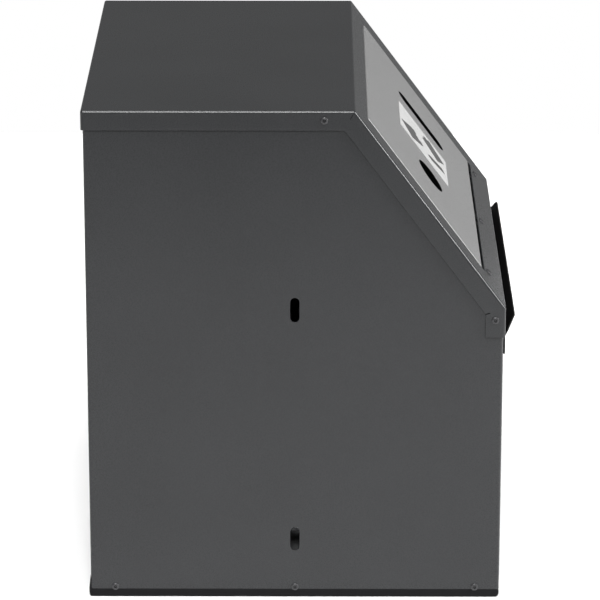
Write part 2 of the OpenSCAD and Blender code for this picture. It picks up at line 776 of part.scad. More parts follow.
module liner_box() {
  d = liner_y1 - liner_y0;
  in = 2 * liner_t;
  color([0.68, 0.69, 0.7])
  difference() {
    translate([0, liner_mid_y, liner_z0]) difference() {
      linear_extrude(liner_h) polygon(rect_line(liner_w, d, liner_r));
      translate([0, 0, liner_t]) linear_extrude(liner_h)
        polygon(rect_line(liner_w - 2 * liner_rim, d - 2 * liner_rim, liner_r));
      translate([0, 0, liner_t]) linear_extrude(liner_h - liner_t - liner_hem)
        polygon(rect_line(liner_w - in, d - in, liner_r - liner_t));
      translate([0, 0, liner_h - liner_hem - cut]) linear_extrude(liner_hem + cut - liner_t) difference() {
        polygon(rect_line(liner_w - in, d - in, liner_r - liner_t));
        polygon(rect_line(liner_w - 2 * liner_rim + in, d - 2 * liner_rim + in, liner_r + liner_t));
      }
    }
    for (k = [-1, 1]) both_sides()
      translate([ear_rivet_z, liner_mid_y + k * ear_rivet_y, liner_x - liner_t - cut])
        cylinder(d = rivet_d + 2 * screw_air, h = liner_t + 2 * cut);
  }
}

// An ear stands outside the liner's side wall, drawn for the left side
module ear() {
  color([0.72, 0.72, 0.7])
  translate([0, liner_mid_y, 0]) difference() {
    translate([-liner_x - ear_t, -ear_w / 2, liner_z1 - ear_below])
      cube([ear_t, ear_w, ear_below + bail_z - liner_z1 + ear_above]);
    translate([-liner_x - ear_t - cut, 0, bail_z]) rotate([0, 90, 0])
      cylinder(d = bail_d + 2 * run_fit, h = ear_t + 2 * cut);
    for (k = [-1, 1]) translate([-liner_x - ear_t - cut, k * ear_rivet_y, ear_rivet_z]) rotate([0, 90, 0])
      cylinder(d = rivet_d + 2 * screw_air, h = ear_t + 2 * cut);
  }
}

module liner_ear_left() {
  ear();
}

module liner_ear_right() {
  mirror([1, 0, 0]) ear();
}

module ear_rivets() {
  color([0.72, 0.72, 0.7])
  for (k = [-1, 1]) both_sides() translate([ear_rivet_z, liner_mid_y + k * ear_rivet_y, liner_x + ear_t])
    rivet(2 * rivet_d, rivet_h, rivet_d, ear_t + liner_t + rivet_past);
}

// The bail lies forward on the liner's rim; its ends turn outwards through the ears
module bail_wire() {
  arm = bail_reach - bail_bend - bail_end_bend;
  color([0.7, 0.7, 0.7])
  translate([0, liner_mid_y, bail_z]) {
    translate([-bail_x + bail_bend, -bail_reach, 0]) rotate([0, 90, 0])
      cylinder(d = bail_d, h = 2 * (bail_x - bail_bend));
    for (s = [0, 1]) mirror([s, 0, 0]) {
      translate([-bail_x, -bail_end_bend, 0]) rotate([90, 0, 0]) cylinder(d = bail_d, h = arm);
      translate([-bail_x + bail_bend, -bail_reach + bail_bend, 0]) rotate([0, 0, 180])
        rotate_extrude(angle = 90) translate([bail_bend, 0]) circle(d = bail_d);
      translate([-bail_x - bail_end_bend, -bail_end_bend, 0])
        rotate_extrude(angle = 90) translate([bail_end_bend, 0]) circle(d = bail_d);
      translate([-bail_end_x, 0, 0]) rotate([0, 90, 0])
        cylinder(d = bail_d, h = bail_end_x - bail_x - bail_end_bend);
    }
  }
}

module bail_grip() {
  color([0.07, 0.07, 0.07])
  translate([-grip_l / 2, liner_mid_y - bail_reach, bail_z]) rotate([0, 90, 0]) difference() {
    cylinder(d = grip_d, h = grip_l);
    translate([0, 0, -cut]) cylinder(d = bail_d + 2 * screw_air, h = grip_l + 2 * cut);
  }
}

base_tray();
base_screws();
body_shell();
front_header();
hood();
hood_screws();
hood_nuts();
aperture_plate();
plate_screws();
plate_nuts();
aperture_label();
label_pictograms();
hinge_base_leaf();
hinge_base_screws();
hinge_pin();
catch_left();
catch_right();
catch_poles();
catch_screws();
door_outer();
door_inner();
door_pull();
pull_rivets();
hinge_door_leaf();
hinge_door_rivets();
strike_left();
strike_right();
strike_rivets();
liner_box();
liner_ear_left();
liner_ear_right();
ear_rivets();
bail_wire();
bail_grip();
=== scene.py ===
import bpy
import bmesh
import math
import numpy as np
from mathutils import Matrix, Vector


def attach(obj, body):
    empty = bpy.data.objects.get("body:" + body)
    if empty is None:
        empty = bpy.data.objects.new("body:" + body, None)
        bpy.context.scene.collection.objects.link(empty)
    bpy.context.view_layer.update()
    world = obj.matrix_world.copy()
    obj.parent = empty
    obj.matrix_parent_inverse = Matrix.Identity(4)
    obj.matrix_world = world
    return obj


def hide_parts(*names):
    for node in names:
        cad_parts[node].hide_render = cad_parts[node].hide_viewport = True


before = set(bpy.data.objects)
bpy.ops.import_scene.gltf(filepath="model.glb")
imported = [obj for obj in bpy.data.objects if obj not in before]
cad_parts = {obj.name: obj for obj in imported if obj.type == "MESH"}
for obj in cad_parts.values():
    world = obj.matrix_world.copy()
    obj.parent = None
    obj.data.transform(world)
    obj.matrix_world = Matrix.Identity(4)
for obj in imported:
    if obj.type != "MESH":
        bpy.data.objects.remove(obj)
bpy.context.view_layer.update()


# a new object in the scene
def placed(name, data):
    thing = bpy.data.objects.new(name, data)
    bpy.context.collection.objects.link(thing)
    return thing


# camera: looks along +X and down at the left side, as in the photograph
# place and far are metres, pitch and turn degrees, lens and sensor millimetres
camera = {"place": (-3.7555, -0.0145, 1.4982), "pitch": 18.45, "turn": 0.24, "lens": 224.8, "sensor": 36,
          "far": 60}
cameraData = bpy.data.cameras.new("photoCamera")
cameraData.lens = camera["lens"]
cameraData.sensor_width = camera["sensor"]
cameraData.clip_end = camera["far"]
cameraObject = placed("photoCamera", cameraData)
cameraObject.location = camera["place"]
cameraObject.rotation_euler = (math.radians(90 - camera["pitch"]), 0, math.radians(camera["turn"] - 90))
bpy.context.scene.camera = cameraObject
print("camera set")

# sizes below are millimetres in the part's frame, which metre turns into Blender's metres; angles are degrees
metre = 0.001
tiny = 1e-6
sharpAngle = 40
edgeSegments = 2
mergeGap = 0.004
binMiddle = (0, 0, 200)


# straight runs joined by arcs that touch them: from each inner corner the arc's centre lies radius / sin(half
# the corner's angle) away, and its ends lie radius / tan(half the angle) away along the two runs
def roundedPath(corners, radii, steps=6):
    corners = np.asarray(corners, float)
    parts = [corners[:1]]
    for before, corner, after, radius in zip(corners, corners[1:], corners[2:], radii):
        u = (before - corner) / np.linalg.norm(before - corner)
        v = (after - corner) / np.linalg.norm(after - corner)
        half = math.acos(np.clip(u @ v, -1, 1)) / 2
        middle = corner + (u + v) / np.linalg.norm(u + v) * radius / math.sin(half)
        first = corner + u * radius / math.tan(half) - middle
        last = corner + v * radius / math.tan(half) - middle
        t = np.linspace(0, 1, steps + 1)[:, None]
        turn = math.pi - 2 * half
        parts.append(middle + (np.sin((1 - t) * turn) * first + np.sin(t * turn) * last) / math.sin(turn))
    return np.vstack(parts + [corners[-1:]])


# the same all the way round, with one radius
def roundedOutline(corners, radius, steps=6):
    c = np.asarray(corners, float)
    return roundedPath(np.vstack([c[-1:], c, c[:1]]), [radius] * len(c), steps)[1:-1]


# rectangle about a centre, with round corners
def roundedRectangle(width, height, radius, centre=(0, 0), steps=6):
    w, h = width / 2, height / 2
    return roundedOutline([[-w, -h], [w, -h], [w, h], [-w, h]], radius, steps) + np.array(centre)


# how far along a path each of its points lies
def runAlong(path):
    return np.concatenate([[0], np.cumsum(np.linalg.norm(np.diff(path, axis=0), axis=1))])


# points from arrays of x, y and z, which are stretched to one shape first
def pointsOf(x, y, z):
    return np.stack(np.broadcast_arrays(x, y, z), -1).reshape(-1, 3)


# each cell of a grid of point numbers becomes the face between its four corners
def cellsOf(index):
    return np.stack([index[:-1, :-1], index[1:, :-1], index[1:, 1:], index[:-1, 1:]], -1)


# faces of a grid of points, which may close on itself; keep says which cells stay
def gridFaces(rows, cols, wrapRows=False, wrapCols=False, keep=None):
    index = np.arange(rows * cols).reshape(rows, cols)
    if wrapRows:
        index = np.vstack([index, index[:1]])
    if wrapCols:
        index = np.hstack([index, index[:, :1]])
    cells = cellsOf(index)
    return cells.reshape(-1, 4) if keep is None else cells[keep]


# several surfaces as one: each list of faces counts on from the points before it
def joined(surfaces):
    sizes = np.cumsum([0] + [len(points) for points, faces in surfaces])
    return (np.vstack([points for points, faces in surfaces]),
            np.vstack([faces + size for (points, faces), size in zip(surfaces, sizes)]))


# rings of points, with a first one that lies whole in the middle of the next and so closes it
def closedStart(rings):
    return np.array([rings[0] * 0 + rings[0].mean(0)] + list(rings))


# flat sheet in its own a and b with round-ended holes: the cells in a hole's box give way to rings of points
# that run in straight lines from the box's edge to the hole's edge, square to its spine or its spine's ends
def sheetWithHoles(aLines, bLines, holes, rings=4):
    a, b = np.meshgrid(aLines, bLines, indexing="ij")
    points = np.stack([a, b], -1).reshape(-1, 2)
    index = np.arange(len(points)).reshape(a.shape)
    keep = np.ones((len(aLines) - 1, len(bLines) - 1), bool)
    allPoints, allFaces, count = [points], [], len(points)
    for hole in holes:
        i0, i1 = np.searchsorted(aLines, [hole["a"] - hole["boxA"] - tiny, hole["a"] + hole["boxA"] - tiny])
        j0, j1 = np.searchsorted(bLines, [hole["b"] - hole["boxB"] - tiny, hole["b"] + hole["boxB"] - tiny])
        keep[i0:i1, j0:j1] = False
        loop = np.concatenate([index[i0:i1, j0], index[i1, j0:j1], index[i1:i0:-1, j1], index[i0, j1:j0:-1]])
        centre = np.array([hole["a"], hole["b"]])
        away = points[loop] - centre
        foot = np.stack([0 * away[:, 0], np.clip(away[:, 1], -hole["spine"], hole["spine"])], -1)
        ray = away - foot
        edge = centre + foot + ray / np.linalg.norm(ray, axis=1, keepdims=True) * hole["radius"]
        t = (np.arange(1, rings + 1) / rings)[:, None, None]
        ringPoints = (points[loop] + (edge - points[loop]) * t).reshape(-1, 2)
        ringIndex = np.vstack([loop, count + np.arange(rings * len(loop)).reshape(rings, -1)])
        allFaces.append(cellsOf(np.hstack([ringIndex, ringIndex[:, :1]])).reshape(-1, 4))
        allPoints.append(ringPoints)
        count += len(ringPoints)
    return np.vstack(allPoints), np.vstack([cellsOf(index)[keep]] + allFaces)


# a round form: each ring has a radius and a height along the axis; a hexagon ring reaches radius / cos(angle
# from the middle of its nearest flat), so that its flats lie at that radius
def turnedForm(rings, place, out, hexRings=(), steps=36):
    out = np.array(out, float) / np.linalg.norm(out)
    u = np.cross(out, [0, 0, 1] if abs(out[2]) < 0.9 else [0, 1, 0])
    u /= np.linalg.norm(u)
    v = np.cross(out, u)
    t = np.linspace(0, 2 * np.pi, steps, endpoint=False)
    rings = np.array(rings, float)
    radius = np.repeat(rings[:, :1], steps, 1)
    radius[list(hexRings)] *= 1 / np.cos((t + np.pi / 6) % (np.pi / 3) - np.pi / 6)
    points = (np.array(place) + (radius * np.cos(t))[..., None] * u + (radius * np.sin(t))[..., None] * v
              + rings[:, 1, None, None] * out)
    return points.reshape(-1, 3), gridFaces(len(rings), steps, wrapCols=True)


# a flat piece with any outline: the outline at both faces, closed at its own middle
def slabOf(outline, thickness):
    middle = np.repeat(outline.mean(0)[None], len(outline), 0)
    flat = np.stack([middle, outline, outline, middle])
    height = np.array([0, 0, thickness, thickness])[:, None]
    return pointsOf(flat[..., 0], flat[..., 1], height), gridFaces(4, len(outline), wrapCols=True)


# round wire: a circle carried along a path, square to it, closed at both ends
def tubeAlong(path, radius, steps=20):
    ahead = np.gradient(path, axis=0)
    ahead /= np.linalg.norm(ahead, axis=1, keepdims=True)
    side = np.cross(ahead, [0, 0, 1.0])
    up = np.cross(side, ahead)
    path, side, up = [np.vstack([v[:1], v, v[-1:]]) for v in (path, side, up)]
    size = np.full((len(path), 1, 1), radius, float)
    size[[0, -1]] = 0
    t = np.linspace(0, 2 * np.pi, steps, endpoint=False)[None, :, None]
    points = path[:, None] + size * (np.cos(t) * side[:, None] + np.sin(t) * up[:, None])
    return points.reshape(-1, 3), gridFaces(len(path), steps, wrapCols=True)


# gives a sheet its wall, rounds the edges, lets large faces lead the shading, and says what the piece is:
# its finish, its body and the CAD nodes that it stands for
def dress(piece, body, slotName, stands, wall=0, edge=0, sharp=sharpAngle):
    if wall:
        solid = piece.modifiers.new("wall", "SOLIDIFY")
        solid.thickness = wall * metre
        solid.offset = -1
        solid.use_quality_normals = True
    if edge:
        bevel = piece.modifiers.new("edge", "BEVEL")
        bevel.width = edge * metre
        bevel.segments = edgeSegments
        bevel.limit_method = "ANGLE"
        bevel.angle_limit = math.radians(sharpAngle)
        bevel.use_clamp_overlap = False
    if wall or edge:
        bpy.context.view_layer.update()
        whole = bpy.data.meshes.new_from_object(piece.evaluated_get(bpy.context.evaluated_depsgraph_get()))
        piece.modifiers.clear()
        piece.data = whole
    piece.data.shade_smooth()
    piece.data.set_sharp_from_angle(angle=math.radians(sharp))
    normals = piece.modifiers.new("shading", "WEIGHTED_NORMAL")
    normals.keep_sharp = True
    piece.data.materials.clear()
    piece.data.materials.append(finishes[slotName])
    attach(piece, body)
    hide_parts(*stands)


# puts points and faces into a mesh, closes its seams and turns its faces away from the inside point: the sum of
# each face's area times how far it faces away from that point has to be positive
def makePiece(name, surface, body, slotName, stands, wall=0, edge=0, inside=None, sharp=sharpAngle,
              merge=mergeGap):
    points, faces = surface
    mesh = bpy.data.meshes.new(name)
    mesh.from_pydata((points * metre).tolist(), [], faces.tolist())
    shape = bmesh.new()
    shape.from_mesh(mesh)
    bmesh.ops.remove_doubles(shape, verts=shape.verts, dist=merge * metre)
    bmesh.ops.dissolve_degenerate(shape, edges=shape.edges, dist=merge * metre)
    bmesh.ops.recalc_face_normals(shape, faces=shape.faces)
    if inside is not None:
        middle = Vector(inside) * metre
        outward = sum(face.calc_area() * face.normal.dot(face.calc_center_median() - middle)
                      for face in shape.faces)
        if outward < 0:
            bmesh.ops.reverse_faces(shape, faces=shape.faces)
    shape.to_mesh(mesh)
    shape.free()
    piece = placed(name, mesh)
    dress(piece, body, slotName, stands, wall, edge, sharp)
    print("made", name, len(piece.data.polygons), "faces")


# a piece whose CAD shape is right keeps it and gets small rounded edges
def roundedCopy(node, body, slotName, edge):
    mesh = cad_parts[node].data.copy()
    shape = bmesh.new()
    shape.from_mesh(mesh)
    bmesh.ops.remove_doubles(shape, verts=shape.verts, dist=mergeGap / 2 * metre)
    bmesh.ops.dissolve_limit(shape, angle_limit=math.radians(1), verts=shape.verts, edges=shape.edges)
    shape.to_mesh(mesh)
    shape.free()
    dress(placed(node + ".rounded", mesh), body, slotName, [node], edge=edge)
    print("rounded", node)


# finishes: each is one shader, fed by patterns in the bin's own coordinates

# a shader with fixed values on its own sockets
def newFinish(name, colour, roughness, **fixed):
    finish = bpy.data.materials.new(name)
    finish.use_nodes = True
    tree = finish.node_tree
    shader = tree.nodes["Principled BSDF"]
    shader.inputs["Base Color"].default_value = (*colour, 1)
    shader.inputs["Roughness"].default_value = roughness
    for socket, value in fixed.items():
        shader.inputs[socket.replace("_", " ")].default_value = value
    return finish, tree, shader


# noise in the bin's coordinates: grain is the size of its spots in millimetres
def noiseOf(tree, grain, detail=3, stretch=(1, 1, 1)):
    place = tree.nodes.new("ShaderNodeTexCoord")
    stretched = tree.nodes.new("ShaderNodeMapping")
    stretched.inputs["Scale"].default_value = stretch
    noise = tree.nodes.new("ShaderNodeTexNoise")
    noise.inputs["Scale"].default_value = 1 / (grain * metre)
    noise.inputs["Detail"].default_value = detail
    tree.links.new(place.outputs["Object"], stretched.inputs["Vector"])
    tree.links.new(stretched.outputs["Vector"], noise.inputs["Vector"])
    return noise.outputs["Fac"]


# straight line from one range of values to another; noise mostly lies in the range from 0.3 to 0.7
def mapped(tree, value, low, high, fromLow=0.3, fromHigh=0.7):
    node = tree.nodes.new("ShaderNodeMapRange")
    node.inputs["From Min"].default_value = fromLow
    node.inputs["From Max"].default_value = fromHigh
    node.inputs["To Min"].default_value = low
    node.inputs["To Max"].default_value = high
    tree.links.new(value, node.inputs["Value"])
    return node.outputs["Result"]


# the sum of two values, or the larger of them
def combined(tree, operation, first, second):
    node = tree.nodes.new("ShaderNodeMath")
    node.operation = operation
    tree.links.new(first, node.inputs[0])
    tree.links.new(second, node.inputs[1])
    return node.outputs[0]


# a value blends the shader's colour between a dark and a light share of it
def tinted(tree, shader, value, colour, dark, light):
    node = tree.nodes.new("ShaderNodeMix")
    node.data_type = "RGBA"
    node.inputs["A"].default_value = (*[c * dark for c in colour], 1)
    node.inputs["B"].default_value = (*[c * light for c in colour], 1)
    tree.links.new(value, node.inputs["Factor"])
    tree.links.new(node.outputs["Result"], shader.inputs["Base Color"])


# a value moves the roughness between two limits
def dulled(tree, shader, value, low, high, *valueRange):
    tree.links.new(mapped(tree, value, low, high, *valueRange), shader.inputs["Roughness"])


# a pattern raises the surface by the given height in millimetres
def raised(tree, shader, value, height):
    bump = tree.nodes.new("ShaderNodeBump")
    bump.inputs["Strength"].default_value = 1
    bump.inputs["Distance"].default_value = height * metre
    tree.links.new(value, bump.inputs["Height"])
    tree.links.new(bump.outputs["Normal"], shader.inputs["Normal"])


# baked powder coat: soft clouds and fine orange peel in its tone, and a roughness that follows the peel
def coatFinish(name, colour, roughness, cloud=0.06, cloudSize=120, peel=0.9, peelTone=0.35, peelShine=0.04,
               height=0.035, specular=0.5):
    finish, tree, shader = newFinish(name, colour, roughness, Specular_IOR_Level=specular)
    clouds = mapped(tree, noiseOf(tree, cloudSize, detail=4), 0, 1)
    grains = noiseOf(tree, peel)
    tones = combined(tree, "ADD", clouds, mapped(tree, grains, -peelTone, peelTone))
    tinted(tree, shader, tones, colour, 1 - cloud, 1 + cloud)
    dulled(tree, shader, grains, roughness - peelShine, roughness + peelShine)
    raised(tree, shader, grains, height)
    return finish


# moulded plastic: fine spark-eroded grain
def mouldedFinish(name, colour, roughness, grain=0.7, grainTone=(0.8, 1.25), height=0.06, cloudSize=60,
                  cloudShine=0.05):
    finish, tree, shader = newFinish(name, colour, roughness, Specular_IOR_Level=0.06)
    grains = noiseOf(tree, grain, detail=2)
    tinted(tree, shader, mapped(tree, grains, 0, 1), colour, *grainTone)
    dulled(tree, shader, noiseOf(tree, cloudSize), roughness - cloudShine, roughness + cloudShine)
    raised(tree, shader, grains, height)
    return finish


# plated or blackened steel: fine drawn lines along x and a cloudy shine
def platedFinish(name, colour, roughness, metal=1.0, line=0.5, stretch=(0.12, 1, 1), height=0.012, cloudSize=14,
                 cloudTone=(0.86, 1.08), cloudShine=0.07):
    finish, tree, shader = newFinish(name, colour, roughness, Metallic=metal)
    clouds = noiseOf(tree, cloudSize, detail=4)
    tinted(tree, shader, mapped(tree, clouds, 0, 1), colour, *cloudTone)
    dulled(tree, shader, clouds, roughness - cloudShine, roughness + cloudShine)
    raised(tree, shader, noiseOf(tree, line, stretch=stretch), height)
    return finish


# hot-dip galvanised sheet: crystals of the zinc, each with a tone and a shine of its own, and a soft ripple
def galvanisedFinish(name, colour, roughness, metal=0.85, crystal=9, tone=(0.87, 1.07), shine=(-0.1, 0.12),
                     ripple=3, height=0.02):
    finish, tree, shader = newFinish(name, colour, roughness, Metallic=metal)
    place = tree.nodes.new("ShaderNodeTexCoord")
    crystals = tree.nodes.new("ShaderNodeTexVoronoi")
    crystals.inputs["Scale"].default_value = 1 / (crystal * metre)
    split = tree.nodes.new("ShaderNodeSeparateColor")
    tree.links.new(place.outputs["Object"], crystals.inputs["Vector"])
    tree.links.new(crystals.outputs["Color"], split.inputs["Color"])
    tinted(tree, shader, split.outputs["Red"], colour, *tone)
    dulled(tree, shader, split.outputs["Green"], roughness + shine[0], roughness + shine[1], 0, 1)
    raised(tree, shader, noiseOf(tree, ripple), height)
    return finish


# printed film or ink: faint clouds and a paper-fine grain
def filmFinish(name, colour, roughness, cloudSize=40, cloudTone=(0.97, 1.02), grain=0.8, height=0.008):
    finish, tree, shader = newFinish(name, colour, roughness, Specular_IOR_Level=0.2)
    tinted(tree, shader, mapped(tree, noiseOf(tree, cloudSize), 0, 1), colour, *cloudTone)
    raised(tree, shader, noiseOf(tree, grain), height)
    return finish


finishes = {
    "anthracite_coat": coatFinish("anthraciteCoat", (0.0200, 0.0208, 0.0220), 0.28, specular=0.34),
    "silver_coat": coatFinish("silverCoat", (0.165, 0.165, 0.165), 0.3, cloud=0.03, peel=0.6, height=0.02),
    "black_coat": coatFinish("blackCoat", (0.004, 0.004, 0.004), 0.5, cloud=0.1, specular=0.08),
    "black_moulding": mouldedFinish("blackMoulding", (0.008, 0.008, 0.0085), 0.55),
    "dark_screw": platedFinish("blackenedSteel", (0.034, 0.034, 0.036), 0.36, metal=0.25),
    "zinc_steel": platedFinish("zincPlatedSteel", (0.62, 0.62, 0.6), 0.34),
    "galvanised_sheet": galvanisedFinish("galvanisedSheet", (0.38, 0.387, 0.4), 0.42),
    "label_white": filmFinish("labelFilm", (0.37, 0.37, 0.367), 0.6),
    "label_grey": filmFinish("labelInk", (0.07, 0.07, 0.07), 0.6),
}
print("finishes made:", len(finishes))

# hood: folded over the shell, with a window for the plate and cuts at the bends of its turned-down sides
hood = {
    "halfWidth": 225, "front": -204.5, "rear": 215.5, "top": 515, "fold": -53.5, "foot": 312, "drop": 281,
    "flange": 20, "bend": 2.5, "sheet": 1.5, "edge": 0.25, "ramp": 0.5, "arcSteps": 6,
    "windowSide": 188, "windowTop": 21.5, "windowEnd": 219.5, "slopeRows": (90, 150), "column": 90,
    "reliefLength": 4.4, "reliefWidth": 0.8, "seamLength": 6.5, "seamWidth": 0.35,
}
slopeAngle = math.atan2(hood["top"] - hood["foot"], hood["fold"] - hood["front"])
slopeLength = math.hypot(hood["top"] - hood["foot"], hood["fold"] - hood["front"])
slopeDown = np.array([-math.cos(slopeAngle), -math.sin(slopeAngle)])
slopeOut = np.array([-math.sin(slopeAngle), math.cos(slopeAngle)])


# a point of the slope: across the bin, down the slope from the fold, and out of the sheet
def onSlope(x, s, out):
    x, s, out = np.broadcast_arrays(x, s, out)
    yz = np.array([hood["fold"], hood["top"]]) + s[..., None] * slopeDown + out[..., None] * slopeOut
    return np.concatenate([x[..., None], yz], -1)


# rows run over the hood's side outline, columns from one turned-down edge across to the other. A point is its
# row's base plus its column's inset times the row's inward step; within the bend's radius of the outline, a
# corner's row adds its arc offset times the radius that is left
def hoodSurface(h):
    rear, front = h["rear"], h["front"]
    corners = np.array([[rear, h["top"] - h["flange"]], [rear, h["top"]], [h["fold"], h["top"]],
                        [front, h["foot"]], [front, h["drop"]]])
    turn = math.tan(slopeAngle / 2)
    inward = np.array([[-1, 0], [-1, -1], [turn, -1], [1, -math.tan(math.pi / 4 - slopeAngle / 2)], [1, 0]])
    # each row: base, inward step, arc offset, the side of the corner's cut that it lies on, and the corner,
    # which is 1 at the rear edge, 2 at the fold and 3 at the foot
    rows = [(corners[0], inward[0], [0, 0], 0, 0)]
    for k in (1, 2, 3):
        arc = roundedPath(corners[k - 1:k + 2], [1], h["arcSteps"])[1:-1] - corners[k]
        crest = len(arc) // 2
        for side, offsets in ((-1, arc[:crest + 1]), (1, arc[crest:])):
            rows += [(corners[k], inward[k], offset, side, k) for offset in offsets]
        if k == 2:
            for s in (h["windowTop"], *h["slopeRows"], h["windowEnd"]):
                rows.append((corners[2] + s * slopeDown, -slopeOut, [0, 0], 0, 0))
    rows.append((corners[4], inward[4], [0, 0], 0, 0))
    base, step, arcs = [np.array([row[i] for row in rows], float) for i in range(3)]
    sign, corner = np.array([row[3] for row in rows]), np.array([row[4] for row in rows])
    # each column: distance across the bin and distance in from the outline
    seamEnd, reliefStart, ramp = h["bend"] + h["seamLength"], h["flange"] - h["reliefLength"], h["ramp"]
    flange = [[h["halfWidth"], inset] for inset in (
        h["flange"], reliefStart + ramp, reliefStart, seamEnd, seamEnd - ramp, h["bend"] + ramp, h["bend"])]
    t = np.linspace(0, np.pi / 2, h["arcSteps"] + 1)[1:]
    bent = h["bend"] * np.stack([np.cos(t) - 1, 1 - np.sin(t)], 1) + [h["halfWidth"], 0]
    half = np.vstack([flange, bent, [[h["windowSide"], 0], [h["column"], 0]]])
    cols = np.vstack([half * [-1, 1], [[0, 0]], half[::-1]])
    across, inset = cols.T
    yz = (base[:, None] + inset[None, :, None] * step[:, None]
          + np.maximum(h["bend"] - inset, 0)[None, :, None] * arcs[:, None])
    # cuts, a mitre seam at the fold and a bend relief at the foot: each side of a cut moves back by half the
    # cut's width along its own run of the outline, and the cells between the two sides are left out
    runs = {2: ([-1.0, 0.0], slopeDown), 3: (slopeDown, [0.0, -1.0])}
    width = {2: h["seamWidth"], 3: h["reliefWidth"]}
    cut = {2: (inset >= h["bend"] - tiny) & (inset <= seamEnd + tiny), 3: inset >= reliefStart - tiny}
    wide = {2: (inset > h["bend"] + tiny) & (inset < seamEnd - tiny), 3: inset > reliefStart + tiny}
    keep = np.ones((len(rows) - 1, len(cols) - 1), bool)
    for k, (before, after) in runs.items():
        away = np.where(sign[:, None] < 0, -np.array(before), np.array(after))
        moved = (corner == k)[:, None] & wide[k][None]
        yz = yz + moved[..., None] * away[:, None] * width[k] / 2
        seam = (corner[:-1] == k) & (corner[1:] == k) & (sign[:-1] < 0) & (sign[1:] > 0)
        keep[np.ix_(seam, cut[k][:-1] & cut[k][1:])] = False
    run = (base - corners[2]) @ slopeDown
    onRun = (corner == 0) & (run > 1) & (run < slopeLength - 1)
    middle = (run[:-1] + run[1:]) / 2
    inWindow = onRun[:-1] & onRun[1:] & (middle > h["windowTop"]) & (middle < h["windowEnd"])
    keep[np.ix_(inWindow, np.abs(across[:-1] + across[1:]) / 2 < h["windowSide"])] = False
    return pointsOf(across[None], yz[..., 0], yz[..., 1]), gridFaces(len(rows), len(cols), keep=keep)


makePiece("hoodSheet", hoodSurface(hood), "housing", "anthracite_coat", ["hood"], wall=hood["sheet"],
          edge=hood["edge"], inside=binMiddle)

# shell: folded round the back and both sides, with two link slots in each side
shell = {
    "side": 223, "front": -202.5, "rear": 213.5, "doorway": 208, "corner": 3, "bottom": 9, "sheet": 1.2,
    "edge": 0.25, "rows": (120, 180, 240, 400), "foldUnderHood": -52.5, "topUnderHood": 513,
    "slotWidth": 9.3, "slotLength": 25.5, "slotHeights": (64, 309), "slotBox": (12, 20), "slotRows": (12, 16),
    "slotColumns": 9,
}


# the plan path is drawn out upwards; its height is cut off under the hood, where the slope takes off the
# distance in front of the fold times tan(the slope's angle)
def shellSurface(p):
    x, front, rear = p["side"], p["front"], p["rear"]
    path = roundedPath([[-p["doorway"], front], [-x, front], [-x, rear], [x, rear], [x, front],
                        [p["doorway"], front]], [p["corner"]] * 4)
    along = runAlong(path)
    # distances along the path at which the left and the right side pass a given depth
    leftStart = along[np.isclose(path[:, 0], -x)][0] - (front + p["corner"])
    rightStart = along[np.isclose(path[:, 0], x)][0] + (rear - p["corner"])
    slotY = (front + rear) / 2
    slotPlaces = (leftStart + slotY, rightStart - slotY)
    foldPlaces = (leftStart + p["foldUnderHood"], rightStart - p["foldUnderHood"])
    boxA, boxB = p["slotBox"]
    spine = (p["slotLength"] - p["slotWidth"]) / 2
    above = np.array([spine, *p["slotRows"], boxB])
    slotLines = np.concatenate([-above[::-1], [0], above])
    uLines = np.unique(np.round(np.concatenate(
        [along, foldPlaces] + [place + np.linspace(-boxA, boxA, p["slotColumns"]) for place in slotPlaces]), 5))
    zLines = np.unique(np.concatenate(
        [[p["bottom"], *p["rows"], p["topUnderHood"]]] + [height + slotLines for height in p["slotHeights"]]))
    holes = [{"a": place, "b": height, "radius": p["slotWidth"] / 2, "spine": spine, "boxA": boxA, "boxB": boxB}
             for place in slotPlaces for height in p["slotHeights"]]
    flat, faces = sheetWithHoles(uLines, zLines, holes)
    px, py = [np.interp(flat[:, 0], along, path[:, i]) for i in (0, 1)]
    top = p["topUnderHood"] - np.maximum(p["foldUnderHood"] - py, 0) * math.tan(slopeAngle)
    return pointsOf(px, py, np.minimum(flat[:, 1], top)), faces


makePiece("shellSheet", shellSurface(shell), "housing", "anthracite_coat", ["body_shell"], wall=shell["sheet"],
          edge=shell["edge"], inside=binMiddle)

# aperture plate: a face in the hood's window, and a rim with tabs behind the hood, coated black as painted
# shade for the joint below the face
plate = {
    "halfWidth": 187, "top": 22.5, "bottom": 214.5, "proud": 0.3, "sheet": 1, "edge": 0.2, "bend": 1.3,
    "bendSteps": 6, "depth": 2.8, "rows": (45, 190), "behind": (0, 120, -200),
    "rimSide": 196, "rimTop": 13.5, "rimEdge": 0.1, "underHood": -1.5, "lap": 0.2,
    "tabHalf": 8, "tabEnd": 236.5, "tabsAt": (-173, 0, 173),
}
# its two inlets: a is across the bin, b down the slope, and the box is where the rings round the hole start
inlets = {
    "round": {"a": -90, "b": 132, "radius": 20, "spine": 0, "boxA": 30, "boxB": 30},
    "flat": {"a": 90, "b": 123, "radius": 10.75, "spine": 29.25, "boxA": 20, "boxB": 50},
}
# sizes of the black sleeves that paint shade on the inlets' walls
shadeSleeve = {"wall": 0.25, "top": 0.2, "foot": -0.8, "steps": 37}


# grid lines through a hole's box
def spread(centre, reach, step=2.5):
    return centre + np.arange(-reach, reach + step / 2, step)


